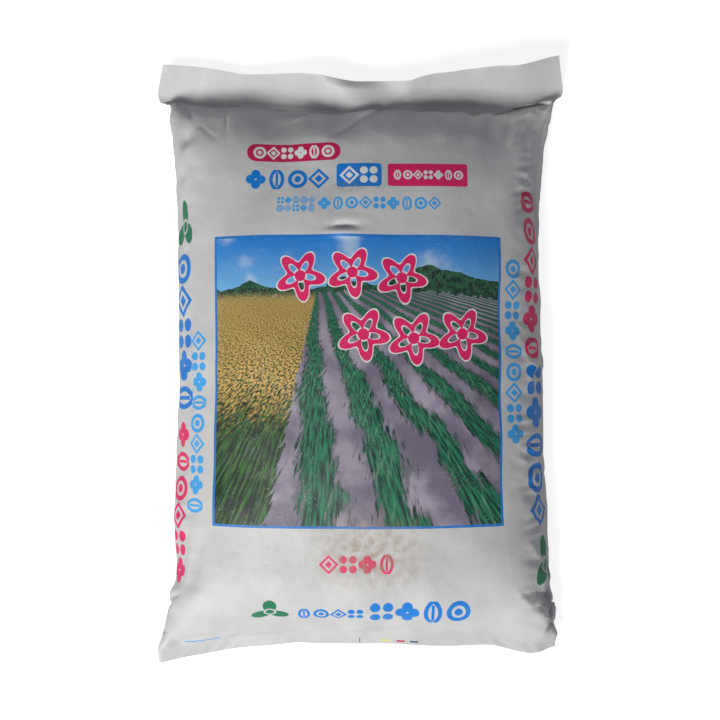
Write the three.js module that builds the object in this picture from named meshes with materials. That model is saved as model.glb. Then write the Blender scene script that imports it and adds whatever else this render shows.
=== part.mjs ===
// A filled growing-soil bag: a plain film tube, heat-sealed across both ends, lying on its back.
// Millimetres, +Z up, +Y towards the wide top seal. The origin is on the floor, under the middle
// of the whole bag, so the body between the seals sits a little towards -Y.
import * as THREE from 'three';

// overall sizes
const flatWidth = 460;         // the film tube pressed flat, as it stays along both seals
const waistWidth = 410;        // the filled tube at mid-length
const bodyLength = 632;        // seal to seal, measured along a side
const fillHeight = 128;        // floor to the crown of the filled bag

// the two welded ends: how far each flap reaches past its seal, and how high it lies
const topFlap = { reach: 46, sealHeight: 14, tipHeight: 30, arch: 8, drawnIn: 7 };
const bottomFlap = { reach: 15, sealHeight: 30, tipHeight: 29, arch: 3, drawnIn: 13 };
const flapThickness = 2;       // two films welded, with their waviness

// the filled body
const sideHeight = 39;         // height of the tube's side fold at mid-length
const sideRound = 40;          // how far in from the waist's sides the back lifts off the floor
const endRound = 48;           // the same, in from each seal
const cornerFlare = 4;         // power with which the waist opens out to the flat corners
const crownAcross = 2.4;       // power of the crown's section, 2 for a plain ellipse
const crownAlong = 0.5;        // power of the crown's fall towards each end

// fineness of the mesh
const cellsAcross = 24;
const cellsAlong = 34;
const cellsInFlap = 2;

const bodyMiddle = (bottomFlap.reach - topFlap.reach) / 2;

// Both families of grid lines crowd towards the rim, where the film turns over.
function crowded(step, steps) {
  return Math.sin((step / steps - 0.5) * Math.PI);
}

// Stations along the bag: `along` runs from -1 to 1 between the seals, `past` is the share of
// a flap beyond its seal.
function stations() {
  const list = [];
  for (let k = cellsInFlap; k > 0; k -= 1) {
    list.push({ along: -1, past: k / cellsInFlap });
  }
  for (let k = 0; k <= cellsAlong; k += 1) {
    list.push({ along: crowded(k, cellsAlong), past: 0 });
  }
  for (let k = 1; k <= cellsInFlap; k += 1) {
    list.push({ along: 1, past: k / cellsInFlap });
  }
  return list;
}

function halfWidthAt(along) {
  return (waistWidth + (flatWidth - waistWidth) * Math.abs(along) ** cornerFlare) / 2;
}

// Height of the film's rim: the side fold in the middle, the seal at the ends, then the flap.
function rimHeight(across, station, flap) {
  const end = Math.abs(station.along);
  const arch = flap.arch * (1 - across ** 2) * end ** 8;
  const side = THREE.MathUtils.lerp(sideHeight, flap.sealHeight, end ** 2);
  return THREE.MathUtils.lerp(side, flap.tipHeight, station.past) + arch;
}

// How far a point is from the flat patch (0) to the rim (1).
function fromPatch(distance, patch, rim) {
  return THREE.MathUtils.clamp((distance - patch) / (rim - patch), 0, 1);
}

// The upper and the lower film at one crossing of the grid.
function filmPoints(across, station) {
  const flap = station.along > 0 ? topFlap : bottomFlap;
  const bow = flap.drawnIn * (1 - across ** 2);
  const x = across * halfWidthAt(station.along);
  const yBody = station.along * (bodyLength / 2 - bow);
  const y = bodyMiddle + yBody + Math.sign(station.along) * station.past * flap.reach;
  const rim = rimHeight(across, station, flap);

  const section = Math.sqrt(1 - Math.abs(across) ** crownAcross);
  const crown = section * (1 - station.along ** 2) ** crownAlong;
  const upperRim = rim + flapThickness / 2;
  const upper = THREE.MathUtils.lerp(upperRim, fillHeight, crown);

  const sideways = fromPatch(Math.abs(x), waistWidth / 2 - sideRound, halfWidthAt(station.along));
  const endways = fromPatch(Math.abs(yBody), bodyLength / 2 - endRound, bodyLength / 2 - bow);
  const curl = 1 - Math.sqrt(Math.max(0, 1 - sideways ** 2 - endways ** 2));
  const lower = (rim - flapThickness / 2) * curl;
  return { upper: [x, y, upper], lower: [x, y, lower] };
}

function bagGeometry() {
  const rows = stations();
  const columns = cellsAcross + 1;
  const upper = [];
  const lower = [];
  for (const station of rows) {
    for (let j = 0; j < columns; j += 1) {
      const films = filmPoints(crowded(j, cellsAcross), station);
      upper.push(...films.upper);
      lower.push(...films.lower);
    }
  }
  const lowerStart = rows.length * columns;
  const faces = [];

  // the two films
  for (let i = 0; i + 1 < rows.length; i += 1) {
    for (let j = 0; j + 1 < columns; j += 1) {
      const a = i * columns + j;
      const [b, c, d] = [a + 1, a + 1 + columns, a + columns];
      faces.push(a, b, c, a, c, d);
      faces.push(lowerStart + a, lowerStart + c, lowerStart + b);
      faces.push(lowerStart + a, lowerStart + d, lowerStart + c);
    }
  }

  // the narrow wall round the rim, which closes the films into one solid
  const rim = [];
  for (let j = 0; j + 1 < columns; j += 1) {
    rim.push(j);
  }
  for (let i = 0; i + 1 < rows.length; i += 1) {
    rim.push(i * columns + columns - 1);
  }
  for (let j = columns - 1; j > 0; j -= 1) {
    rim.push((rows.length - 1) * columns + j);
  }
  for (let i = rows.length - 1; i > 0; i -= 1) {
    rim.push(i * columns);
  }
  for (let k = 0; k < rim.length; k += 1) {
    const here = rim[k];
    const next = rim[(k + 1) % rim.length];
    faces.push(here, lowerStart + here, lowerStart + next, here, lowerStart + next, next);
  }

  const geometry = new THREE.BufferGeometry();
  geometry.setAttribute('position', new THREE.Float32BufferAttribute([...upper, ...lower], 3));
  geometry.setIndex(faces);
  geometry.computeVertexNormals();
  return geometry;
}

const film = new THREE.MeshStandardMaterial({ color: 0xcfcac2, roughness: 0.42, metalness: 0 });

const bag = new THREE.Mesh(bagGeometry(), film);
bag.name = 'bag';

const compostBag = new THREE.Group();
compostBag.add(bag);

export default compostBag;
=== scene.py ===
import math
import bpy
import numpy as np
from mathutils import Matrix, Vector


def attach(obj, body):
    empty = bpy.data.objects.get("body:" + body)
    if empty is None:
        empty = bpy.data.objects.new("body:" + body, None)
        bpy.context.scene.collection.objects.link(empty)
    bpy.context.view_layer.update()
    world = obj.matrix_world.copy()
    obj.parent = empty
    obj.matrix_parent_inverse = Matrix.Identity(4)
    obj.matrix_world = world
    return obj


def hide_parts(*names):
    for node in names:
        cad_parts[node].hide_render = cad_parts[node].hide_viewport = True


# A filled growing-soil bag on its back: a printed film tube, welded across both ends.
# Metres, the CAD frame: +X to the right of the printed face, +Y to the wide top flap, +Z up.
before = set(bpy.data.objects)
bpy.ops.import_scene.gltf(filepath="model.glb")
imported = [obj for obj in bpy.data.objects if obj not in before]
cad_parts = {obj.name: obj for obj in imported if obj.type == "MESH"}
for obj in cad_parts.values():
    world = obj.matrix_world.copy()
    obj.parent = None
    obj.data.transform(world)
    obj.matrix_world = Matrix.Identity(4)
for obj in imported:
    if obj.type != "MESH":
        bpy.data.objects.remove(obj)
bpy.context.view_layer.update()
single = np.float32         # the film is filled in single precision

camera = {
    "height": 2.5,          # lens above the floor
    "frameWidth": 0.826,    # how much of the floor the 720 pixel frame takes in
    "focal": 108.0,         # long lens, so the sides stay upright
    "aim": (0.0, 0.0),      # point on the floor under the lens
}


# A new object in the scene, at the origin.
def addObject(name, data):
    obj = bpy.data.objects.new(name, data)
    bpy.context.collection.objects.link(obj)
    return obj


# A lens straight above the floor, looking down with +Y up the picture.
def makeCamera(opts):
    data = bpy.data.cameras.new("overheadCamera")
    data.lens = opts["focal"]
    data.sensor_fit = "HORIZONTAL"
    # similar triangles: sensor / focal length = frame width / height
    data.sensor_width = opts["focal"] * opts["frameWidth"] / opts["height"]
    data.clip_start = 0.05
    data.clip_end = 50
    obj = addObject("overheadCamera", data)
    obj.location = (opts["aim"][0], opts["aim"][1], opts["height"])
    bpy.context.scene.camera = obj


makeCamera(camera)
print("camera placed")

tube = {
    "flatWidth": 0.460,     # the film tube pressed flat
    "sealToSeal": 0.640,    # its flat length between the two welds
    "topFlap": 0.054,       # film past the first line of the top weld
    "bottomFlap": 0.016,
    "fill": 0.0240,         # cubic metres of soil asked for
    "shortfall": 40,        # pressure for a missing share of it
    "heaviness": 0.9,       # how heavily the soil presses, against water
    "filmWeight": 5.9,      # how hard gravity pulls a film point
    "coarseCell": 0.0145,   # first grid of the film, halved at each level
    "steps": (500, 400, 300),
    "passes": (3, 4, 6),    # length corrections in one step
    "stiffness": (0.010, 0.002, 0.0),
    "push": (25, 10, 4),    # how hard the fill pushes a film point, by level
    "timeStep": (0.0025, 0.016),    # seconds, for cells this large
    "mostMove": 0.4,        # of a cell in one step
    "damping": 0.96,
    "floorGrip": 0.3,       # share of its slide that a point on the floor keeps
    "stiffFlap": 0.10,      # how firmly a flap keeps in line with its weld
    "flapDraw": 0.97,       # share of its flat reach that it then keeps
    "flapLift": 0.25,       # angle at which the top flap stands up from its weld, radians
    "flapSag": 0.85,        # how far it turns down in the middle
    "sagAt": 0.020,         # where the top flap sags, and over what width
    "sagWidth": 0.060,
    "stiffWeld": 0.40,      # how firmly the welded ends keep straight
    "weldSpan": 6,          # over how many coarse cells
    "endsApart": 0.614,     # the welds are never pulled nearer than this, nor narrower
    "weldWidth": 0.452,
    "unevenness": (0.001, 0.0003),
    "seed": 3,
}


# Film grids have the shape (xyz, front and back, rows along the tube, columns across it).
# Two linked points move along the line between them until it has its flat length again: each
# by half of (distance - rest), times the share.
def keepLength(a, b, rest, share):
    d = b - a
    n = np.sqrt(d[0] * d[0] + d[1] * d[1] + d[2] * d[2])
    n += single(1e-9)
    d *= single(0.5 * share) * (single(1) - single(rest) / n)
    a += d
    b -= d


# All links along one axis of the grid, every other one at a time.
def keepLinks(film, axis, rest):
    line = np.moveaxis(film, axis, -1)
    for s in (0, 1):
        n = (line.shape[-1] - s) // 2
        keepLength(line[..., s:s + 2 * n:2], line[..., s + 1:s + 2 * n:2], rest, 1.0)


# Both diagonals of each cell, which keep it square, at a lower share.
def keepSquare(film, rest):
    for s in (0, 1):
        n = (film.shape[2] - s) // 2
        a = film[:, :, s:s + 2 * n:2]
        b = film[:, :, s + 1:s + 2 * n:2]
        keepLength(a[..., :-1], b[..., 1:], rest, 0.3)
        keepLength(a[..., 1:], b[..., :-1], rest, 0.3)


# Next value less the one before along an axis; twice the last step at the ends.
def differences(film, axis):
    line = np.moveaxis(film, axis, -1)
    out = np.empty_like(film)
    change = np.moveaxis(out, axis, -1)
    change[..., 1:-1] = line[..., 2:] - line[..., :-2]
    change[..., 0] = 2 * (line[..., 1] - line[..., 0])
    change[..., -1] = 2 * (line[..., -1] - line[..., -2])
    return out


# Area vectors: the cross product of the differences across and along the film, over four,
# turned round on the back so that they all point out of the bag.
def areaVectors(film):
    area = np.cross(differences(film, 3), differences(film, 2), axis=0)
    area = area * film.dtype.type(0.25)
    area[:, 1] *= -1
    return area


# The flat tube, opened a little: z = middle +- 30 mm times the root of (1 - x^2)(1 - y^2).
def flatTube(opts):
    width, length = opts["flatWidth"], opts["sealToSeal"]
    whole = length + opts["topFlap"] + opts["bottomFlap"]
    x = np.linspace(-width / 2, width / 2, round(width / opts["coarseCell"]) + 1)
    y = np.linspace(-length / 2 - opts["bottomFlap"], length / 2 + opts["topFlap"],
                    round(whole / opts["coarseCell"]) + 1)
    across, along = np.meshgrid(x, y)
    inside = np.clip(1 - (2 * across / width) ** 2, 0, 1)
    inside *= np.clip(1 - (2 * along / length) ** 2, 0, 1)
    lift = 0.03 * np.sqrt(inside)
    film = np.stack([np.stack([across, across]), np.stack([along, along]),
                     np.stack([0.04 + lift, 0.04 - lift])])
    return film.astype(single), x, y


# Halves the cells: new points by the four-point rule, (9, 9, -1, -1) sixteenths.
def halved(values, axis):
    a = np.moveaxis(values, axis, 0)
    out = np.empty((2 * a.shape[0] - 1,) + a.shape[1:], a.dtype)
    out[::2] = a
    middle = (a[:-1] + a[1:]) / 2
    middle[1:-1] = (9 * (a[1:-2] + a[2:-1]) - (a[:-3] + a[3:])) / 16
    out[1::2] = middle
    return np.moveaxis(out, 0, axis)


# Bending, as the Laplacian taken twice: four neighbours less four times the middle.
def bending(film):
    lap = np.zeros_like(film)
    lap[..., 1:-1] += film[..., 2:] + film[..., :-2] - 2 * film[..., 1:-1]
    lap[:, :, 1:-1] += film[:, :, 2:] + film[:, :, :-2] - 2 * film[:, :, 1:-1]
    ring = lap[:, :, 2:, 1:-1] + lap[:, :, :-2, 1:-1]
    ring += lap[:, :, 1:-1, 2:] + lap[:, :, 1:-1, :-2]
    return ring - 4 * lap[:, :, 1:-1, 1:-1]


# One level of the filling. Each step the film points move by their own momentum, by the
# pressure of the soil (a share for the missing volume and a share for the depth under the
# crown) and by gravity. Then the links, the welds and the floor are put right in turn.
def fillTube(film, x, y, level, opts):
    cellX, cellY = x[1] - x[0], y[1] - y[0]
    half = opts["sealToSeal"] / 2
    topWeld = int(np.argmax(y > half - 1e-6))
    bottomWeld = int(np.argmax(y > -half + 1e-6)) - 1
    welds = (slice(0, bottomWeld + 1), slice(topWeld, None))
    holdsSoil = np.zeros((1, len(y), 1), single)
    holdsSoil[:, bottomWeld + 1:topWeld] = 1
    diagonal = math.hypot(cellX, cellY)
    seconds, forCell = opts["timeStep"]
    dt = seconds * math.sqrt(cellX / forCell)
    most = single(opts["mostMove"] * cellX)
    sag = opts["flapSag"] * np.exp(-((x - opts["sagAt"]) / opts["sagWidth"]) ** 2)
    lift = opts["flapLift"] - sag
    flaps = [(topWeld, q, lift) for q in range(topWeld + 1, len(y))]
    flaps += [(bottomWeld, q, 0 * lift) for q in range(bottomWeld)]
    span = opts["weldSpan"] * 2 ** level
    hold = single(opts["stiffFlap"])
    last = film.copy()
    for step in range(opts["steps"][level]):
        area = areaVectors(film)
        volume = float((film * area).sum() / 3)
        area /= single(cellX * cellY)
        missing = max(0.0, opts["shortfall"] * (opts["fill"] / max(volume, 1e-4) - 1))
        depth = film[2].max() - film[2]
        pressure = (single(missing) + single(9.81 * opts["heaviness"]) * depth) * holdsSoil
        force = area * (pressure * single(opts["push"][level]))
        force[2] -= single(opts["filmWeight"])
        move = (film - last) * single(opts["damping"])
        move += np.clip(force * single(dt * dt), -most, most)
        np.clip(move, -most, most, out=move)
        last = film.copy()
        film += move
        for _ in range(opts["passes"][level]):
            keepLinks(film, 3, cellX)
            keepLinks(film, 2, cellY)
            keepSquare(film, diagonal)
            # a flap's rows lie in line with its weld; the bottom one's height is free
            for weld, row, lift in flaps:
                reach = (y[row] - y[weld]) * opts["flapDraw"]
                place = film[:, :, weld].copy()
                place[1] += (reach * np.cos(lift)).astype(single)
                place[2] += (reach * np.sin(lift)).astype(single)
                held = slice(0, 3 if weld == topWeld else 2)
                film[held, :, row] += hold * (place[held] - film[held, :, row])
            keepLength(film[:, :, topWeld], film[:, :, -1], y[-1] - y[topWeld], 0.5)
            keepLength(film[:, :, bottomWeld], film[:, :, 0], y[bottomWeld] - y[0], 0.5)
            # the welded ends stay straight, apart and wide, and their two films are one
            for rows in welds:
                keepLength(film[:, :, rows, :-span], film[:, :, rows, span:],
                           span * cellX, opts["stiffWeld"])
            for rows, way in zip(welds, (-1, 1)):
                ends = film[1, :, rows] * way
                film[1, :, rows] = np.maximum(ends, opts["endsApart"] / 2) * way
                for side, out in ((0, -1), (-1, 1)):
                    edge = film[0, :, rows, side] * out
                    film[0, :, rows, side] = np.maximum(edge, opts["weldWidth"] / 2) * out
            for side in (0, -1):
                film[..., side] = film[..., side].mean(1, keepdims=True)
            for rows in welds:
                film[:, :, rows] = film[:, :, rows].mean(1, keepdims=True)
        film[:, :, 1:-1, 1:-1] -= single(opts["stiffness"][level]) * bending(film)
        under = film[2] < 0
        film[2][under] = 0
        for k in (0, 1):
            slide = film[k][under] - last[k][under]
            film[k][under] = last[k][under] + single(opts["floorGrip"]) * slide
    print("filled at level", level, film.shape, "litres", round(volume * 1000, 2))
    return film


# The tube is filled on a coarse grid first, then twice more on one with half the cells' size,
# each time from a film that is a little uneven.
def filledTube(opts):
    rng = np.random.default_rng(opts["seed"])
    film, x, y = flatTube(opts)
    film[2] += rng.normal(0, opts["unevenness"][0], film.shape[2:]).astype(single)[None]
    levels = 3
    for level in range(levels):
        if level:
            film = np.ascontiguousarray(halved(halved(film, 2), 3))
            x, y = halved(x, 0), halved(y, 0)
            film[2] += rng.normal(0, opts["unevenness"][1], film.shape[2:]).astype(single)[None]
        film = fillTube(film, x, y, level, opts)
    return film, x, y


film, flatX, flatY = filledTube(tube)

# The fine grid along and across the film: how close its lines lie below a flat place, in the
# middle, and above a second place.
fineFilm = {
    "along": ((-0.285, 0.0024), 0.0030, (0.262, 0.0018)),
    "across": ((-0.170, 0.0022), 0.0030, (0.170, 0.0022)),
}


# Places from low to high, near `gap` apart, without the last one.
def places(low, high, gap):
    return np.linspace(low, high, max(2, round((high - low) / gap)) + 1)[:-1]


# The same for a whole line, with gaps of their own below one place and above another.
def unevenPlaces(line, below, middle, above):
    (low, lowGap), (high, highGap) = below, above
    return np.concatenate([places(line[0], low, lowGap), places(low, high, middle),
                           places(high, line[-1], highGap), line[-1:]])


# Catmull-Rom through an evenly spaced grid, read at uneven places along one axis.
def readAt(values, axis, grid, at):
    a = np.moveaxis(values, axis, 0)
    a = np.concatenate([2 * a[:1] - a[1:2], a, 2 * a[-1:] - a[-2:-1]])
    f = (at - grid[0]) / (grid[1] - grid[0])
    i = np.clip(np.floor(f).astype(int), 0, len(grid) - 2)
    t = (f - i).reshape((-1,) + (1,) * (a.ndim - 1))
    p0, p1, p2, p3 = a[i], a[i + 1], a[i + 2], a[i + 3]
    out = 2 * p1 + (p2 - p0) * t
    out += (2 * p0 - 5 * p1 + 4 * p2 - p3) * t ** 2 + (3 * p1 - p0 - 3 * p2 + p3) * t ** 3
    return np.moveaxis(out / 2, 0, axis)


# The filled film read again on a grid that is closer where the film is most creased.
def fineGrid(film, x, y, opts):
    rows = unevenPlaces(y, *opts["along"])
    cols = unevenPlaces(x, *opts["across"])
    return readAt(readAt(film.astype(float), 2, y, rows), 3, x, cols), cols, rows


film, flatX, flatY = fineGrid(film, flatX, flatY, fineFilm)
print("film on its fine grid", film.shape)

# Both in flat millimetres: half the film's flat width, and half its length between the welds.
halfFlat = tube["flatWidth"] * 500
halfSeals = tube["sealToSeal"] * 500


# Rows of values under the names in `keys`; a short row leaves out the last ones.
def named(keys, rows):
    return [dict(zip(keys.split(), row)) for row in rows]


# Creases and bumps on the front, in flat millimetres (x to the right, y to the top flap).
# A crease is its points, its widths to the left and the right of its run, and its height
# (below 0 for a groove); a bump is its middle, its two radii and its height.
creases = named("at width height", [
    ([(-84, 282), (-66, 289), (-48, 298), (-28, 304), (0, 307)], (5, 2.6), 3.0),
    ([(-38, 254), (-14, 271), (4, 285), (26, 298), (52, 308)], (2.5, 9), -4.4),
    ([(-34, 120), (-36, 210), (-33, 296)], (1.6, 1.6), 0.45),
    ([(-28, 150), (-29, 230)], (1.6, 1.6), -0.35),
    ([(221, 311), (206, 297), (184, 272), (168, 240)], (4, 4), 2.8),
    ([(226, 308), (204, 282), (186, 250)], (3.6, 3.6), -3.0),
    ([(224, 282), (206, 262), (198, 236)], (3.4, 3.4), 2.0),
    ([(218, 296), (196, 304), (166, 304)], (3, 3), 1.4),
    ([(120, 300), (106, 286), (98, 268)], (4, 4), 1.2),
    ([(-226, 318), (-208, 300), (-196, 278)], (3.5, 3.5), -2.6),
    ([(-194, 280), (-178, 266), (-156, 252)], (1.8, 1.8), -1.2),
    ([(-186, -158), (-191, -200), (-199, -250)], (4, 5), 3.2),
    ([(-176, -170), (-180, -210), (-187, -250)], (5, 5), -1.8),
    ([(164, -232), (174, -247), (186, -265), (208, -292), (218, -304)], (2.2, 3), 1.2),
    ([(174, -249), (184, -250), (198, -248)], (3.5, 1.6), -2.6),
    ([(206, -241), (213, -249), (224, -262)], (1.7, 4), 2.8),
    ([(182, -262), (190, -268), (203, -268), (213, -266), (224, -262)], (4.5, 1.8), -4.5),
    ([(204, -275), (214, -272), (226, -268)], (1.8, 4), 2.6),
    ([(60, -262), (96, -290), (150, -300)], (7, 7), 1.4),
    ([(-40, -250), (-20, -285)], (7, 7), 1.0),
])
bumps = named("at radii height", [
    ((20, -246), (176, 46), 11.0),      # the full bottom end
    ((-150, 264), (66, 38), 8.5),       # the full top left shoulder
    ((-160, 288), (56, 18), 3.5),
    ((-70, 302), (34, 8), -6.0),        # the pocket at the weld
    ((80, 305), (125, 9), -4.6),        # the hollow under its right half
    ((214, 245), (21, 66), -7.5),       # the steep right shoulder
    ((-18, 147), (15, 4.5), 4.5),
    ((-18, 154.5), (15, 2.4), -5.0),
    ((-12, 163), (14, 4.0), 1.0),
    ((-204, 262), (8, 11), -6.0),
    ((-196, 250), (9, 8), 1.5),
    ((-30, 136), (22, 3.0), 0.6),
    ((217, -299), (5, 4), -4.0),
    ((-204, -320), (9, 7), -4.0),
])
# The free top flap at flat x: how far its edge reaches past the weld, how far it rises, and how
# far its very edge curls back down.
flapReach = [(-230, 47, 13, 0), (-190, 44.5, 19, 0), (-170, 42, 20, 0), (-150, 38.5, 19, 0),
             (-136, 37, 16, 0), (-118, 37, 24, 0), (-75, 37, 30, 0), (-50, 35, 31, 1),
             (-40, 33, 30, 3), (-22, 30, 23, 5), (-3, 27, 12, 6), (12, 27, 4, 4),
             (28, 26, 0, 1), (40, 25, 3, 0), (56, 24.5, 12, 0), (70, 28, 24, 0),
             (90, 31, 34, 0), (110, 31.5, 41, 0), (130, 33.5, 46, 0), (150, 34, 51, 0),
             (170, 34, 58, 0), (186, 32.5, 62, 0), (205, 37, 62, 0), (216, 40, 54, 0),
             (230, 43.5, 44, 0)]
# How far the top weld itself lies off its bow, at flat x.
weldShift = [(-230, 5), (-200, 3.5), (-172, 3.5), (-138, 6), (-103, 3), (-69, 0), (-34, -7),
             (0, -10), (34, -11), (69, -9), (103, -9), (138, -9), (172, -8), (200, -4),
             (230, 2)]
# How far the top weld lies lower than the filling alone would leave it, at flat x.
weldDrop = [(-230, 0), (-180, 2), (-140, 5), (-100, 8), (-60, 15), (-20, 19), (40, 20), (80, 17),
            (120, 13), (145, 11), (168, 8), (190, 4), (212, 1), (230, 0)]
# How far the outline is let out at flat y, on the left and on the right.
outline = [(372, 2.5, 2), (336, 7, 6.5), (327, 6, 7.5), (320, 0, 2), (312, -5, -1), (298, -6, -1),
           (282, -6, -0.5), (264, -5.5, -3), (251, -4, -5), (225, -3.4, -5.7), (186, -4.6, -6.9),
           (121, 0, -3.4), (56, 1, 0), (-35, 1, 4.6), (-74, 2.3, 4.6), (-113, 3.4, 3.4),
           (-165, 4.6, 6.9), (-217, -1.5, 3.4), (-236, -1.5, 4), (-246, 3.5, 4), (-256, 3, 6),
           (-264, 2, 9), (-272, 1, 9), (-282, 1, 6), (-294, 1, 2), (-304, 0, -2), (-316, 0, 0)]
# How far the bottom end is drawn up at flat x.
bottomRise = [(-230, 5), (-190, 6), (-150, 9), (-105, 11), (-80, 13), (-70, 15), (-58, 13),
              (-30, 12), (0, 11), (30, 11), (45, 9.5), (75, 7), (110, 6), (140, 7), (156, 7.5),
              (172, 3), (190, 0), (205, 0), (218, 2), (230, 8)]
# The bottom ears of the tube: how far each is pulled (right, up the bag, off the floor), and
# over what distance from its tip.
ears = named("at pull size", [
    ((230, -336), (-7.5, 3.5, -6), 26),
    ((-230, -336), (1.5, -3.2, 1), 24),
])
surface = {
    "seeds": (60, 90),          # of the front's and the back's own waves
    "lumps": (95, 0.8),         # wavelength and height of the soil's lie, millimetres
    "dents": (34, 0.28),
    "crumples": (13, 0.16),
    "calm": 0.3,                # share of the dents and crumples left in the taut middle
    "tautMiddle": -10,          # flat y of its middle
    "tautHalf": (225, 310),     # half the width and length of the frame round it
    "looseFrom": (0.72, 0.95),  # shares of that frame between which they come back
    "bulge": (293, 11, 2.2),    # where the top end swells, over what length, and how far
    "ledge": (1.7, 2.6),        # height and width of the ragged step at the top weld
    "ledgeBack": 13,            # how far short of the weld it lies
}
crimps = {
    "right": (19, 3.0, 7),      # length of the waves, height and seed of each side's crimps
    "left": (21, 0.7, 8),
    "growOver": (168, 206),     # flat x over which they grow in from the middle
    "fadeOver": (204, 228),     # and over which most of their height goes again at the fold
    "endOver": (215, 260),      # flat y over which they fade towards both ends
    "patches": 90,              # length of their stronger and weaker stretches
}
corner = {
    "line": ((172, -244), (215, -302)),     # the corner to the right of it is pushed in
    "depth": 10.0,
    "slope": 20,                # width of the slope down from the line
    "startOver": (-234, -262),  # flat y over which the dent begins, going down the bag
    "endOver": (-322, -300),    # and over which it has ended
    "waves": ((17, 0.9, 41), (9, 0.5, 42)),     # length, height and seed of its crumples
}
topEnd = {
    "dropOver": (256, 306),     # flat y over which the weld's drop comes in
    "crevice": (0.6, 2.6),      # depth and width of the groove under the weld
    "creviceBack": 5.0,         # how far short of the weld it lies
    "bow": 7,                   # how much nearer the weld's middle is
}
flap = {
    "base": (4, 0.4),           # the flap first goes this far on and down, then turns up
    "slant": 0.45,              # its folds lean this far to the left for each step up
    "taper": 0.016,             # share of its width that it loses towards its edge
    "crimps": (30, 0.3),        # length and height of its waves
}
ends = {
    "skew": 5.0,                # how much further up the right end of both flaps lies
    "hair": 0.00035,            # half the gap between a flap's two films, metres
}


# A field of waves of about one length in every direction: the sum of many cosines with
# random directions and phases, scaled to a standard deviation of 1.
def waves(u, v, length, seed, count=42):
    rng = np.random.default_rng(seed)
    out = np.zeros_like(u)
    for _ in range(count):
        turn, phase = rng.uniform(0, 2 * math.pi, 2)
        k = 2 * math.pi / length * rng.uniform(0.6, 1.5)
        out += np.cos(u * k * math.cos(turn) + v * k * math.sin(turn) + phase)
    return out / math.sqrt(count / 2)


# Distance from a chain of straight stretches, the place along it from 0 to 1, and the side: the
# sign of the cross product of the stretch and the way to the point, above 0 on the left.
def fromChain(u, v, points):
    best = np.full_like(u, 1e9)
    place = np.zeros_like(u)
    onLeft = np.zeros_like(u, bool)
    parts = len(points) - 1
    for k in range(parts):
        (ax, ay), (bx, by) = points[k], points[k + 1]
        long2 = (bx - ax) ** 2 + (by - ay) ** 2
        t = np.clip(((u - ax) * (bx - ax) + (v - ay) * (by - ay)) / long2, 0, 1)
        d = np.hypot(u - ax - t * (bx - ax), v - ay - t * (by - ay))
        place = np.where(d < best, (k + t) / parts, place)
        cross = (bx - ax) * (v - ay) - (by - ay) * (u - ax)
        onLeft = np.where(d < best, cross > 0, onLeft)
        best = np.minimum(best, d)
    return best, place, onLeft


# From 0 at `low` to 1 at `high`, by t^2 (3 - 2 t) with t the share of the way.
def smooth(x, low, high):
    t = np.clip((x - low) / (high - low), 0, 1)
    return t * t * (3 - 2 * t)


# Reads a list of (place, value, ...) rows at `at`, rounded off over about `soft`.
def listed(at, rows, column, soft):
    rows = sorted(rows)
    line = np.linspace(-400, 400, 801)
    values = np.interp(line, [row[0] for row in rows], [row[column] for row in rows])
    window = np.exp(-(np.arange(-30, 31) / soft) ** 2)
    values = np.convolve(np.pad(values, 30, mode="edge"), window / window.sum(), "valid")
    return np.interp(at, line, values)


# Height added to the front film, in millimetres: creases fall off as exp(-distance / width)
# with a rounded top and fade at both ends, bumps are bells, exp(-(distance / radius)^2).
def frontRelief(u, v):
    h = np.zeros_like(u)
    for c in creases:
        d, t, onLeft = fromChain(u, v, c["at"])
        w = np.where(onLeft, *c["width"])
        core = 0.35 * min(c["width"])
        shape = np.exp(-(np.sqrt(d * d + core ** 2) - core) / (0.6 * w))
        h += c["height"] * shape * smooth(t, 0, 0.3) * smooth(1 - t, 0, 0.3)
    for b in bumps:
        (bx, by), (rx, ry) = b["at"], b["radii"]
        h += b["height"] * np.exp(-((u - bx) / rx) ** 2 - ((v - by) / ry) ** 2)
    return h + pushedCorner(u, v)


# The pushed-in bottom right corner: a slope down from its line, by the distance from the line,
# then level at its depth, with crumples of its own.
def pushedCorner(u, v):
    (ax, ay), (bx, by) = corner["line"]
    side = ((u - ax) * (ay - by) + (v - ay) * (bx - ax)) / math.hypot(bx - ax, by - ay)
    inside = smooth(v, *corner["startOver"]) * smooth(v, *corner["endOver"])
    crumples = sum(height * waves(u, v, size, seed) for size, height, seed in corner["waves"])
    dent = corner["depth"] * smooth(side, 0, corner["slope"])
    return (crumples * smooth(side, 0, 8) - dent) * inside


# Short creases square to a side fold: ridges of 1 - |waves|, drawn out four times across the
# film, times the shares that grow from the middle, fade at the fold and fade at both ends.
def sideCrimps(u, v, side):
    size, height, seed = crimps[side]
    share = smooth(np.abs(u), *crimps["growOver"])
    share = share * (1 - 0.85 * smooth(np.abs(u), *crimps["fadeOver"]))
    share = share * (1 - 0.75 * smooth(np.abs(v), *crimps["endOver"]))
    ridge = 1 - np.abs(waves(u * 0.25, v, size, seed))
    patches = np.clip(0.65 + 0.4 * waves(u, v, crimps["patches"], seed + 1), 0.3, 1.5)
    return height * ridge * share * patches


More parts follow.
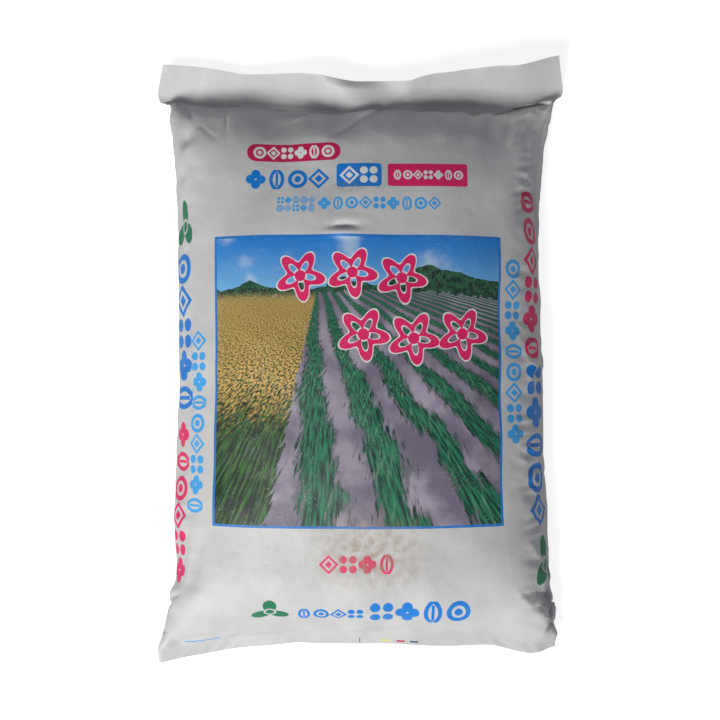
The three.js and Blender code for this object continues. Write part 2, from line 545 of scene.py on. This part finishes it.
# Height added to the front (layer 0) or the back (1), in millimetres: long lumps, then dents
# and crumples of 1 - |waves| that are weaker in the taut middle, crimps down both sides, and
# the swelling of the top end, a bell along the bag.
def relief(u, v, layer):
    body = smooth(halfSeals - v, 0, 10) * smooth(v + halfSeals, 0, 8)
    seed = surface["seeds"][layer]
    h = surface["lumps"][1] * waves(u, v, surface["lumps"][0], seed) * body
    halfX, halfY = surface["tautHalf"]
    rim = np.maximum(np.abs(u) / halfX, np.abs(v - surface["tautMiddle"]) / halfY)
    loose = surface["calm"] + (1 - surface["calm"]) * smooth(rim, *surface["looseFrom"])
    h += surface["dents"][1] * waves(u, v, surface["dents"][0], seed + 1) * body * loose
    fold = 1 - np.abs(waves(u, v, surface["crumples"][0], seed + 2))
    h += surface["crumples"][1] * fold * (0.6 + 0.4 * waves(u, v, 70, seed + 3)) * body * loose
    h += sideCrimps(u, v, "right") * (u > 0) * body
    h += sideCrimps(u, v, "left") * (u < 0) * body
    at, size, height = surface["bulge"]
    ragged = 1 + 0.16 * waves(u, v * 0.4, 30, 15)
    h += height * ragged * np.exp(-((v - at) / size) ** 2) * body
    h += topLedge(u, v)
    if layer == 0:
        h += frontRelief(u, v) * smooth(halfSeals - v, -4, 4)
    return h


# The swelling ends in a ledge along a ragged line: full height at the line, a steep side to
# the weld, and exp(-distance / 16 mm) down the bag.
def topLedge(u, v):
    inner = smooth(halfSeals - v, 0, 3) * smooth(halfFlat - np.abs(u), 4, 30)
    height, fall = surface["ledge"]
    line = halfSeals - surface["ledgeBack"] + 2.2 * waves(u, 0 * v, 30, 17)
    line += 1.5 * waves(u, v * 0.3, 11, 18)
    height = height * np.clip(0.6 + 0.5 * waves(u, 0 * v, 48, 19), 0, 1.6)
    return height * smooth(line - v, 0, fall) * np.exp(-np.clip(line - v, 0, 60) / 16) * inner


# The film moves along its own normal by the relief, which dies out at the side folds.
def withRelief(film, u, v):
    normal = areaVectors(film)
    normal /= np.linalg.norm(normal, axis=0) + 1e-12
    out = film.copy()
    edge = smooth(halfFlat - np.abs(u), 0, 5)
    for layer in (0, 1):
        h = relief(u, v, layer) * edge
        out[:, layer] += normal[:, layer] * h * 0.001
    return out


# The top weld is lowered by its listed drop and by a ragged groove, exp(-(distance / width)^2)
# deep, drawn in by a bow of 1 - (u / half width)^2, and shifted along the bag as listed.
def placeTopWeld(out, u, v):
    sag = listed(u, weldDrop, 1, 14) * smooth(v, *topEnd["dropOver"])
    depth, width = topEnd["crevice"]
    ragged = 0.75 + 0.35 * waves(u, v * 0.5, 14, 33) + 0.25 * waves(u, v * 0.3, 45, 34)
    line = halfSeals - topEnd["creviceBack"] - 1.5 * waves(u, 0 * v, 60, 35)
    sag += depth * np.clip(ragged, 0.1, 2) * np.exp(-((v - line) / width) ** 2)
    out[2] = np.maximum(out[2] - 0.001 * sag, 0)
    out[1] -= 0.001 * topEnd["bow"] * (1 - (u / halfFlat) ** 2) * smooth(v, 285, halfSeals)
    out[1] += 0.001 * listed(u, weldShift, 1, 10) * smooth(v, 292, halfSeals)


# Past its weld the top flap is laid out again, its two films together: a short base on and
# down, then straight to its edge. Onward and upward are its steps along the bag and off the
# floor for each step along the film, and their running sums are its run and its rise.
def layTopFlap(out, weld, u, v):
    past = v[weld:] - v[weld]
    base, fall = flap["base"]
    turn = smooth(past, 0, 3 * base)
    free = past[-1] - 1.5 * base
    size, height = flap["crimps"]
    wavy = height * waves(u[weld:], past * 0.2, size, 21)
    shift = listed(u[weld:], weldShift, 1, 10)
    onward = (listed(u[weld:], flapReach, 1, 7) - shift - 1.5 * base) / free
    slanted = u[weld:] + flap["slant"] * past
    upward = (listed(slanted, flapReach, 2, 17) + wavy) / free
    curl = listed(u[weld:], flapReach, 3, 7) * smooth(past, past[-1] - 14, past[-1] + 4)
    step = np.diff(past, axis=0) * 0.001
    run = np.cumsum((1 + (onward - 1) * turn)[1:] * step, axis=0)
    rise = np.cumsum((upward * turn - fall / base * (1 - turn))[1:] * step, axis=0)
    start = out[:, :, weld:weld + 1]
    # its section across the bag is rounder than the weld's
    section = listed(u[:1], list(zip(u[0], start[2, 0, 0])), 1, 22)
    low = start[2] + smooth(past[1:], 0, 12) * (section - start[2])
    out[0, :, weld + 1:] = start[0] * (1 - flap["taper"] * past[1:] / past[-1])
    out[1, :, weld + 1:] = start[1] + run
    out[2, :, weld + 1:] = low + rise - 0.001 * curl[1:]


# The outline is let out as listed, the bottom end drawn up as listed, both ends skewed by
# u / half width, and each ear pulled by exp(-(distance / size)^2).
def trimEnds(out, u, v):
    sideways = smooth(np.abs(u), 120, 228) * np.sign(u)
    left, right = listed(v, outline, 1, 5), listed(v, outline, 2, 5)
    out[0] += 0.001 * np.where(u < 0, left, right) * sideways
    out[1] += 0.001 * listed(u, bottomRise, 1, 12) * smooth(-v, 245, 330)
    out[1] += ends["skew"] * 0.001 * (u / halfFlat) * smooth(np.abs(v), 120, 330)
    for ear in ears:
        ex, ey = ear["at"]
        share = np.exp(-((u - ex) ** 2 + (v - ey) ** 2) / ear["size"] ** 2)
        out += share * 0.001 * np.array(ear["pull"], float).reshape(3, 1, 1, 1)


# The two films of a flap are never nearer than a hair and meet at the rim, the front is never
# under the back, and nothing is under the floor.
def keepApart(out, v):
    apart = np.full_like(v, ends["hair"])
    apart[[0, -1]] = 0
    apart[:, [0, -1]] = 0
    inFlap = np.abs(v) > halfSeals
    out[2, 0] += apart * inFlap
    out[2, 1] -= apart * inFlap
    out[2] = np.maximum(out[2], 0)
    out[2, 0] = np.maximum(out[2, 0], out[2, 1] + apart)


# All of these in turn. The flap starts at the first row where the two films are one.
def shapedFilm(film, x, y):
    u, v = np.meshgrid(x * 1000, y * 1000)
    out = withRelief(film, u, v)
    placeTopWeld(out, u, v)
    spread = np.abs(film[:, 0] - film[:, 1]).max(axis=(0, 2))
    layTopFlap(out, int(np.argmax((y > 0) & (spread < 0.0004))), u, v)
    trimEnds(out, u, v)
    keepApart(out, v)
    return out


film = shapedFilm(film, flatX, flatY)
film[1] -= (film[1].min() + film[1].max()) / 2      # centred along the bag
film[2] -= film[2].min()                            # and down on the floor
print("creases and lumps added")


# One closed mesh: the front grid, then the back's inner points, with the rim shared. Each
# cell of the grid is one face, turned round on the back. The UVs are the flat film, in metres.
def filmMesh(name, film, flatX, flatY):
    rows, cols = film.shape[2:]
    front = np.arange(rows * cols).reshape(rows, cols)
    back = front.copy()
    inner = np.arange((rows - 2) * (cols - 2)).reshape(rows - 2, cols - 2)
    back[1:-1, 1:-1] = rows * cols + inner
    points = np.concatenate([film[:, 0].reshape(3, -1).T,
                             film[:, 1, 1:-1, 1:-1].reshape(3, -1).T])

    def quads(ids, flip):
        q = np.stack([ids[:-1, :-1], ids[:-1, 1:], ids[1:, 1:], ids[1:, :-1]], -1)
        return (q[..., ::-1] if flip else q).reshape(-1, 4)

    flat = np.stack(np.meshgrid(flatX, flatY), -1).reshape(-1, 2)
    faces = np.concatenate([quads(front, False), quads(back, True)])
    places = np.concatenate([quads(front, False), quads(front, True)])
    mesh = bpy.data.meshes.new(name)
    mesh.from_pydata(points.tolist(), [], faces.tolist())
    layer = mesh.uv_layers.new(name="flatFilm")
    uv = flat[places].astype(single)
    uv[len(faces) // 2:, :, 0] += 1.0   # the back's own stretch of film, 1 m to the right
    layer.data.foreach_set("uv", uv.ravel())
    mesh.shade_smooth()
    # the cut and welded edges are sharp; the tube's side folds stay round
    ends = np.empty(2 * len(mesh.edges), np.int32)
    mesh.edges.foreach_get("vertices", ends)
    ends = ends.reshape(-1, 2)
    onRim = np.zeros(len(points), bool)
    rim = np.zeros((rows, cols), bool)
    rim[[0, -1]] = True
    rim[:, [0, -1]] = (np.abs(flatY) > tube["sealToSeal"] / 2 - 0.001)[:, None]
    onRim[:rows * cols] = rim.ravel()
    sharp = mesh.attributes.new("sharp_edge", "BOOLEAN", "EDGE")
    sharp.data.foreach_set("value", onRim[ends[:, 0]] & onRim[ends[:, 1]])
    mesh.update()
    return addObject(name, mesh)


sack = filmMesh("filledSack", film.astype(float), flatX, flatY)


# The print is in flat film millimetres too: u to the right, v to the top flap. Rows of small
# ornaments run right from `at`, columns run down from it; `pitch` is one ornament's cell, and
# `tall` is a row's height over its pitch.
inks = {
    "film": (204, 204, 204),
    "filmShade": (196, 196, 197),   # the film's second tone, in soft clouds
    "pink": (222, 26, 100),
    "deepPink": (196, 20, 82),
    "blue": (0, 122, 212),
    "lightBlue": (66, 164, 232),
    "green": (20, 118, 80),
    "white": (228, 229, 229),
    "border": (28, 118, 200),
    "dark": (60, 90, 130),
    "yellow": (222, 216, 130),
    "smudge": (150, 128, 98),
    "worn": (120, 124, 128),
    "scuff": (200, 198, 190),
}
rows = named("at pitch count ink tall", [
    ((-119.5, 240.2), 15.4, 6, "white"),   # on the pill
    ((-127, 208.7), 23.4, 4, "blue"),
    ((-22, 211.5), 21.0, 2, "white"),      # on the badge
    ((35, 211.5), 11.2, 7, "white"),       # on the label
    ((-91, 183.7), 8.6, 5, "lightBlue"),
    ((-91, 174.4), 8.6, 5, "lightBlue"),
    ((-46, 179.6), 14.9, 9, "lightBlue"),
    ((-44, -207.5), 21.0, 4, "pink"),
    ((-71, -269.0), 19.0, 4, "blue"),
    ((10, -266.8), 28.4, 4, "blue", 1.25),
])
columns = named("at pitch count ink", [
    ((-214, 132), 36.0, 5, "blue"),
    ((-214, -56), 30.0, 6, "pink"),
    ((-186, 44), 22.6, 9, "lightBlue"),
    ((207, 204), 32.4, 6, "pink"),
    ((209, 9), 36.4, 5, "blue"),
    ((175, 122.5), 22.5, 9, "lightBlue"),
])
plates = named("at half round ink", [
    ((-73.5, 240.2), (52.5, 10.5), 10.4, "deepPink"),
    ((-1, 211.5), (24.5, 13.5), 4.0, "blue"),
    ((74, 211.5), (44.0, 13.0), 2.5, "pink"),
    ((-178, -317), (20, 0.8), 0.5, "lightBlue"),
    ((0, -331), (0.6, 3), 0.3, "border"),
    ((29, -332), (5.5, 1.3), 0.3, "yellow"),
    ((46.5, -332), (4.6, 1.1), 0.3, "deepPink"),
    ((61.5, -332), (4.6, 1.1), 0.3, "dark"),
])
marks = named("at size", [
    ((-99, -264), (23.0, 17.0)),      # trefoils of leaves
    ((-213, 161.5), (19.0, 31.0)),
    ((213, -219), (21.0, 35.0)),
])
flowerRim = 1.7          # white round each blossom
blossoms = named("at size", [
    ((-64, 100), 27.0),
    ((-8, 104), 27.0),
    ((45, 98), 27.0),
    ((4, 38), 28.0),
    ((58, 34), 28.0),
    ((112, 39), 28.0),
])
panel = {"at": (-2.25, -12.0), "half": (160.25, 156.8), "border": 2.8}
# The picture: a made-up field. Distances are flat millimetres.
fieldInks = {
    "sky": ((126, 188, 228), (20, 124, 212)),       # at the horizon and at the top
    "cloud": (214, 226, 234),
    "woods": ((16, 46, 40), (44, 96, 66)),
    "soil": ((112, 104, 122), (156, 148, 164)),
    "damp": (66, 74, 78),
    "plants": ((4, 44, 40), (38, 126, 92)),
    "tips": (110, 164, 120),
    "ripe": ((120, 96, 40), (222, 182, 104)),
    "grass": ((8, 30, 20), (58, 108, 48)),
}
fieldPlan = {
    "horizon": 112.0,           # height that the rows run towards
    "trueSize": 60.0,           # how far below it the ground is drawn at its true size
    "nearest": 14.0,            # the ground is never read nearer to it than this
    "middle": -40.0,            # u of the rows' vanishing point
    "pitch": 21.0,              # from row to row
    "rowEdge": (0.22, 0.27),    # half a row's share of the pitch, and its ragged edge
    "cropEdge": -10.0,          # the ripe crop is left of this
    "cropTop": 62.0,
}
wear = {
    "worn": {"at": (-12.0, 198.0), "flat": 2.6, "reach": (26.0, 8.0), "share": 0.55},
    "smudge": {"at": (12.0, -196.0), "narrow": 0.6, "reach": (58.0, 4.0), "share": (0.55, 0.12)},
    "scuffs": 0.6,              # how far the small scuffs cover the print
    "roughness": (0.44, 0.16),  # lowest, and what the clouds in it add
}
weldLine = {
    "at": (317.5, 315.0),       # v over which the smooth weld steps up to the body
    "height": 2.5,              # millimetres
    "drift": (10.0, 7.0),       # how far the line wanders, slowly and quickly
}


# A new node, with values set on its inputs by name.
def addNode(tree, kind, **values):
    node = tree.nodes.new(kind)
    for key, value in values.items():
        node.inputs[key].default_value = value
    return node


# From 0 to 255 as seen to the shader's linear colour: ((c + 0.055) / 1.055)^2.4, straight
# in the darkest tones.
def linear(rgb):
    c = np.array(rgb) / 255
    c = np.where(c > 0.04045, ((c + 0.055) / 1.055) ** 2.4, c / 12.92)
    return (*[float(v) for v in c], 1.0)


# A number in a material: each operation adds one Math node.
class Num:
    tree = None

    def __init__(self, socket):
        self.socket = socket


signs = {"add": "ADD", "sub": "SUBTRACT", "mul": "MULTIPLY", "truediv": "DIVIDE"}
for sign, operation in signs.items():
    setattr(Num, f"__{sign}__", lambda a, b, name=operation: calc(name, a, b))
    setattr(Num, f"__r{sign}__", lambda a, b, name=operation: calc(name, b, a))
Num.__lt__ = lambda a, b: calc("LESS_THAN", a, b)
Num.__gt__ = lambda a, b: calc("GREATER_THAN", a, b)


# Links a number to a socket, or sets a fixed value on it.
def plug(value, socket):
    if isinstance(value, Num):
        Num.tree.links.new(value.socket, socket)
    else:
        socket.default_value = value


# One Math node, by its operation's name.
def calc(operation, *values):
    node = Num.tree.nodes.new("ShaderNodeMath")
    node.operation = operation
    for value, socket in zip(values, node.inputs):
        plug(value, socket)
    return Num(node.outputs[0])


def absolute(a):
    return calc("ABSOLUTE", a)


# 1 where `a` is no further than `reach` from `middle`, else 0.
def within(a, middle, reach):
    return calc("COMPARE", a, middle, reach)


def larger(a, b):
    return calc("MAXIMUM", a, b)


def smaller(a, b):
    return calc("MINIMUM", a, b)


# a * factor + offset
def scaled(a, factor, offset):
    return calc("MULTIPLY_ADD", a, factor, offset)


# The root of x^2 + y^2.
def distance(x, y):
    return calc("SQRT", calc("MULTIPLY_ADD", x, x, y * y))


# From 0 at `low` to 1 at `high`, with soft ends.
def ramp(a, low, high):
    node = Num.tree.nodes.new("ShaderNodeMapRange")
    node.interpolation_type = "SMOOTHSTEP"
    for value, key in ((a, "Value"), (low, "From Min"), (high, "From Max")):
        plug(value, node.inputs[key])
    return Num(node.outputs[0])


# `under` with `share` of `over` on it; each is a colour or a part of the picture.
def blend(share, under, over):
    node = Num.tree.nodes.new("ShaderNodeMix")
    node.data_type = "RGBA"
    plug(share, node.inputs[0])
    for value, socket in ((under, node.inputs[6]), (over, node.inputs[7])):
        plug(linear(value) if isinstance(value, tuple) else value, socket)
    return Num(node.outputs[2])


# Cloudy noise around 0.5 with one wave to about 1 / scale millimetres.
def cloud(x, y, scale, detail=2.0, rough=0.5):
    join = Num.tree.nodes.new("ShaderNodeCombineXYZ")
    plug(x, join.inputs[0])
    plug(y, join.inputs[1])
    node = addNode(Num.tree, "ShaderNodeTexNoise", Scale=scale, Detail=detail, Roughness=rough)
    node.noise_dimensions = "2D"
    Num.tree.links.new(join.outputs[0], node.inputs["Vector"])
    return Num(node.outputs[0])


# Signed distance to a rounded box: outside length of (|p| - half + round), less the rounding.
def roundBox(u, v, at, half, radius):
    x = larger(absolute(u - at[0]) - (half[0] - radius), 0.0)
    y = larger(absolute(v - at[1]) - (half[1] - radius), 0.0)
    return distance(x, y) - radius


# Five small ornaments in a cell from -0.5 to 0.5: a ring with a dot, a double diamond, four
# dots, a four-leafed rosette and a leaf's outline. The cell's number picks one.
def ornament(x, y, number):
    x, y = x * 0.86, y * 0.86
    ax, ay = absolute(x), absolute(y)
    r = distance(x, y)
    shapes = [larger(within(r, 0.32, 0.08), r < 0.14),
              larger(within(ax + ay, 0.37, 0.075), (ax + ay) < 0.17),
              distance(ax - 0.215, ay - 0.215) < 0.175,
              larger(distance(ax - 0.22, ay) < 0.185, distance(ax, ay - 0.22) < 0.185),
              larger(within(distance(ax + 0.28, ay), 0.52, 0.07),
                     within(ax, 0.0, 0.05) * within(ay, 0.0, 0.3))]
    pick = calc("FLOORED_MODULO", number, 5.0)
    out = shapes[0] * within(pick, 0.0, 0.1)
    for k in range(1, 5):
        out = scaled(shapes[k], within(pick, float(k), 0.1), out)
    return out


# Rows and columns are read into one shared cell, so that the ornaments are worked out once:
# along = cells run from the row's start, across = cells off its middle line.
def ornamentRows(u, v):
    along, across, sums = 0.0, 0.0, {}
    for k, row in enumerate(rows + columns):
        at, step = row["at"], 1 / row["pitch"]
        wide = step / row.get("tall", 1.0)
        if k < len(rows):
            here, side = scaled(u, step, -at[0] * step), scaled(v, wide, -at[1] * wide)
        else:
            here, side = scaled(v, -step, at[1] * step), scaled(u, wide, -at[0] * wide)
        half = row["count"] / 2
        inside = within(here, half, half) * within(side, 0.0, 0.5)
        along = scaled(inside, here + float(3 * k), along)
        across = scaled(inside, side, across)
        sums[row["ink"]] = inside + sums.get(row["ink"], 0.0)
    print("ornament rows", len(rows + columns))
    shape = ornament(calc("FRACT", along) - 0.5, across, calc("FLOOR", along))
    return {ink: shape * total for ink, total in sums.items()}


# Distance to a five-petalled blossom's outline: radius less R (0.76 + 0.24 cos 5 angle).
def blossom(u, v, at, size):
    x, y = u - at[0], v - at[1]
    angle = calc("ARCTAN2", y, x)
    r = distance(x, y)
    petals = r - scaled(calc("COSINE", scaled(angle, 5.0, 0.8)), 0.24 * size, 0.76 * size)
    return smaller(absolute(petals + 4.6) - 5.0, r - 0.22 * size)


# Three leaves round a stem: radius less 0.66 + 0.34 cos 3 angle, with a ring left out.
def trefoil(u, v, at, size):
    x, y = (u - at[0]) / size[0], (v - at[1]) / size[1]
    angle = calc("ARCTAN2", x, y)
    r = distance(x, y)
    leaves = r < scaled(calc("COSINE", angle * 3.0), 0.34, 0.66)
    return leaves * (within(r, 0.26, 0.05) < 0.5)


# The picture on the panel: sky with soft clouds over a wooded ridge, a ripe crop on the left
# and bending rows of young plants in wet soil, all in perspective. Ground at height v is drawn
# 60 / (112 - v) times smaller, so a pattern's place is (u, v) times that, and a row is a band
# of its u. Blades are noise stretched upwards.
def landscape(u, v):
    plan = fieldPlan
    soft = cloud(u, v, 0.018, 3.0)
    away = plan["trueSize"] / larger(plan["horizon"] - v, plan["nearest"])
    across = (u - plan["middle"]) * away
    blades = cloud(scaled(v, 0.25, u) * away, v * away * 0.22, 1.15, 4.0, 0.62)
    tufts = cloud(scaled(v, -0.45, u) * away, v * away * 0.25, 0.62, 3.0, 0.6)
    grain = cloud(u * away, v * away, 0.85, 4.0, 0.62)
    leaves = cloud(u, v, 0.16, 3.0, 0.6)
    scene = blend(v < woodedRidge(u, soft), skyColour(v, soft),
                  blend(ramp(leaves, 0.36, 0.64), *fieldInks["woods"]))
    groundTop = scaled(calc("SINE", scaled(u, 0.017, 1.1)), 5.0, 74.0) + leaves * 12.0
    scene = blend(v < groundTop, scene, plantedRows(across, away, soft, blades, tufts))
    crop = scaled(tufts, 7.0, across) < plan["cropEdge"]
    crop = crop * (v < scaled(blades, 34.0, plan["cropTop"]))
    return blend(crop, scene, ripeCrop(v, blades, tufts, grain))


# Sky: deeper with height, with clouds where the soft noise is high.
def skyColour(v, soft):
    sky = blend(ramp(v, 60.0, 150.0), *fieldInks["sky"])
    return blend(ramp(soft, 0.50, 0.74) * 0.55, sky, fieldInks["cloud"])


# The ridge's height: 92 + 9 sin(0.021 u + 0.2), roughened by the soft noise.
def woodedRidge(u, soft):
    return scaled(calc("SINE", scaled(u, 0.021, 0.2)), 9.0, 92.0) + soft * 40.0 - 16.0


# Rows: the place across them, over their pitch and bent with distance, is a row's number and
# the share past it; a plant covers the band near a whole number, with a ragged edge.
def plantedRows(across, away, soft, blades, tufts):
    turned = scaled(across, 1 / fieldPlan["pitch"], 0.0)
    turned = turned + scaled(away, 0.5, scaled(soft, 0.7, 0.10))
    band = absolute(calc("FRACT", turned) - 0.5)
    soil = blend(ramp(soft, 0.35, 0.65), *fieldInks["soil"])
    damp = ramp(band + scaled(tufts, 0.5, -0.25), 0.36, 0.22) * 0.6
    soil = blend(damp, soil, fieldInks["damp"])
    plants = blend(ramp(blades, 0.34, 0.66), *fieldInks["plants"])
    plants = blend(ramp(tufts, 0.58, 0.76) * 0.7, plants, fieldInks["tips"])
    ragged = band + scaled(blades, 0.55, -0.275) + scaled(tufts, 0.35, -0.175)
    return blend(ramp(ragged, *fieldPlan["rowEdge"]), plants, soil)


# The crop: grain in its upper part, blades of grass below, mixed by height and noise.
def ripeCrop(v, blades, tufts, grain):
    ripe = blend(ramp(grain, 0.40, 0.60), *fieldInks["ripe"])
    low = blend(ramp(blades, 0.40, 0.66), *fieldInks["grass"])
    grainShare = ramp(tufts * 90.0 + v + grain * 60.0, 10.0, 70.0)
    return blend(grainShare * ramp(grain, 0.42, 0.52), low, ripe)


# The clean print: film, bordered panel, plates, ornaments, trefoils, and blossoms with a rim.
def printColour(u, v):
    colour = blend(ramp(cloud(u, v, 0.02, 3.0), 0.3, 0.7), inks["film"], inks["filmShade"])
    (x, y), (halfX, halfY) = panel["at"], panel["half"]
    edge = larger(absolute(u - x) - halfX, absolute(v - y) - halfY)
    picture = blend(edge > -panel["border"], landscape(u, v), inks["border"])
    colour = blend(edge < 0.0, colour, picture)
    for plate in plates:
        box = roundBox(u, v, plate["at"], plate["half"], plate["round"])
        colour = blend(box < 0.0, colour, inks[plate["ink"]])
    for ink, shape in ornamentRows(u, v).items():
        colour = blend(shape, colour, inks[ink])
    for mark in marks:
        colour = blend(trefoil(u, v, mark["at"], mark["size"]), colour, inks["green"])
    shape = 1000.0
    for flower in blossoms:
        shape = smaller(blossom(u, v, flower["at"], flower["size"]), shape)
    colour = blend(shape < flowerRim, colour, inks["white"])
    return blend(shape < 0.0, colour, inks["pink"])


# Wear on it: scattered small scuffs, a rubbed patch, and a brown smudge, each strongest at
# its middle and broken up by noise.
def wornColour(colour, u, v):
    fine = cloud(u, v, 0.55, 2.0, 0.6)
    scuffs = ramp(fine, 0.66, 0.72) * ramp(cloud(u, v, 0.03, 1.0), 0.45, 0.65)
    colour = blend(scuffs * wear["scuffs"], colour, inks["scuff"])
    spot = wear["worn"]
    away = distance(u - spot["at"][0], (v - spot["at"][1]) * spot["flat"])
    worn = ramp(away, *spot["reach"]) * ramp(fine, 0.48, 0.56)
    colour = blend(worn * spot["share"], colour, inks["worn"])
    spot = wear["smudge"]
    away = distance((u - spot["at"][0]) * spot["narrow"], v - spot["at"][1])
    mottle = ramp(cloud(u, v, 0.11, 3.0), 0.30, 0.75)
    smudge = ramp(away, *spot["reach"]) * scaled(mottle, *spot["share"])
    return blend(smudge, colour, inks["smudge"])


# Fine waves of the film, and the step down to the smooth weld along a torn line.
def filmHeight(u, v):
    height = scaled(cloud(u, v, 0.09, 2.0), 0.4, 0.0) + cloud(u, v, 0.33, 2.0, 0.55) * 0.05
    slow, quick = weldLine["drift"]
    torn = v + scaled(cloud(u, 0.0, 0.022, 1.0), slow, -slow / 2)
    torn = torn + scaled(cloud(u, scaled(v, 0.3, 0.0), 0.16, 2.0), quick, -quick / 2)
    return height + ramp(torn, *weldLine["at"]) * weldLine["height"]


def printedFilm():
    mat = bpy.data.materials.new("printedFilm")
    mat.use_nodes = True
    tree = mat.node_tree
    Num.tree = tree
    shader = tree.nodes["Principled BSDF"]
    uv = tree.nodes.new("ShaderNodeUVMap")
    uv.uv_map = "flatFilm"
    split = tree.nodes.new("ShaderNodeSeparateXYZ")
    tree.links.new(uv.outputs[0], split.inputs[0])
    u, v = Num(split.outputs[0]) * 1000.0, Num(split.outputs[1]) * 1000.0
    plug(wornColour(printColour(u, v), u, v), shader.inputs["Base Color"])
    shader.inputs["IOR"].default_value = 1.5
    lowest, more = wear["roughness"]
    plug(scaled(cloud(u, v, 0.06, 3.0), more, lowest), shader.inputs["Roughness"])
    bump = addNode(tree, "ShaderNodeBump", Distance=0.001)
    plug(filmHeight(u, v), bump.inputs["Height"])
    tree.links.new(bump.outputs[0], shader.inputs["Normal"])
    return mat


sack.data.materials.append(printedFilm())
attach(sack, "root")
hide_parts("bag")
print("sack made", len(sack.data.polygons))

lights = {
    "key": {"at": (-1.8, -2.5, 3.02), "size": 2.05, "watts": 184, "colour": (1.0, 0.99, 0.96)},
    "fill": {"at": (1.4, 1.2, 2.4), "size": 2.0, "watts": 3, "colour": (0.9, 0.95, 1.0)},
    "room": {"colour": (0.86, 0.89, 1.0, 1), "strength": 0.16},
}
floor = {
    "half": 4.0,            # metres to each side
    "drop": 0.0006,         # how far it lies under the bag
    "grey": 0.8,
    "glow": 0.78,           # added for the camera only, so that it shows nearly white
}


# A square lamp that faces the origin.
def areaLamp(name, opts):
    data = bpy.data.lights.new(name, "AREA")
    data.shape = "SQUARE"
    data.size = opts["size"]
    data.energy = opts["watts"]
    data.color = opts["colour"]
    obj = addObject(name, data)
    obj.location = opts["at"]
    obj.rotation_euler = (-Vector(opts["at"])).to_track_quat("-Z", "Y").to_euler()


areaLamp("keyLamp", lights["key"])
areaLamp("fillLamp", lights["fill"])


# A dim, cool room lights the bag, and the camera sees white.
def makeWorld(opts):
    world = bpy.data.worlds.new("softRoom")
    world.use_nodes = True
    tree = world.node_tree
    room = tree.nodes["Background"]
    room.inputs["Color"].default_value = opts["colour"]
    room.inputs["Strength"].default_value = opts["strength"]
    white = addNode(tree, "ShaderNodeBackground", Color=(1, 1, 1, 1))
    path = tree.nodes.new("ShaderNodeLightPath")
    mix = tree.nodes.new("ShaderNodeMixShader")
    sources = (path.outputs["Is Camera Ray"], room.outputs[0], white.outputs[0])
    for source, socket in zip(sources, mix.inputs):
        tree.links.new(source, socket)
    tree.links.new(mix.outputs[0], tree.nodes["World Output"].inputs["Surface"])
    bpy.context.scene.world = world


makeWorld(lights["room"])


# A plain square that takes the bag's shadow, with a glow that only the camera sees.
def makeFloor(opts):
    mesh = bpy.data.meshes.new("paleFloor")
    corners = [(x * opts["half"], y * opts["half"], -opts["drop"])
               for x, y in ((-1, -1), (1, -1), (1, 1), (-1, 1))]
    mesh.from_pydata(corners, [], [(0, 1, 2, 3)])
    obj = addObject("paleFloor", mesh)
    mat = bpy.data.materials.new("paleFloor")
    mat.use_nodes = True
    tree = mat.node_tree
    diffuse = addNode(tree, "ShaderNodeBsdfDiffuse", Color=(*[opts["grey"]] * 3, 1))
    glow = addNode(tree, "ShaderNodeEmission", Color=(1, 1, 1, 1))
    path = tree.nodes.new("ShaderNodeLightPath")
    add = tree.nodes.new("ShaderNodeAddShader")
    Num.tree = tree
    plug(Num(path.outputs["Is Camera Ray"]) * opts["glow"], glow.inputs["Strength"])
    tree.links.new(diffuse.outputs[0], add.inputs[0])
    tree.links.new(glow.outputs[0], add.inputs[1])
    tree.links.new(add.outputs[0], tree.nodes["Material Output"].inputs["Surface"])
    mesh.materials.append(mat)


makeFloor(floor)
bpy.context.scene.view_settings.view_transform = "Standard"
print("floor, lamps and room made")
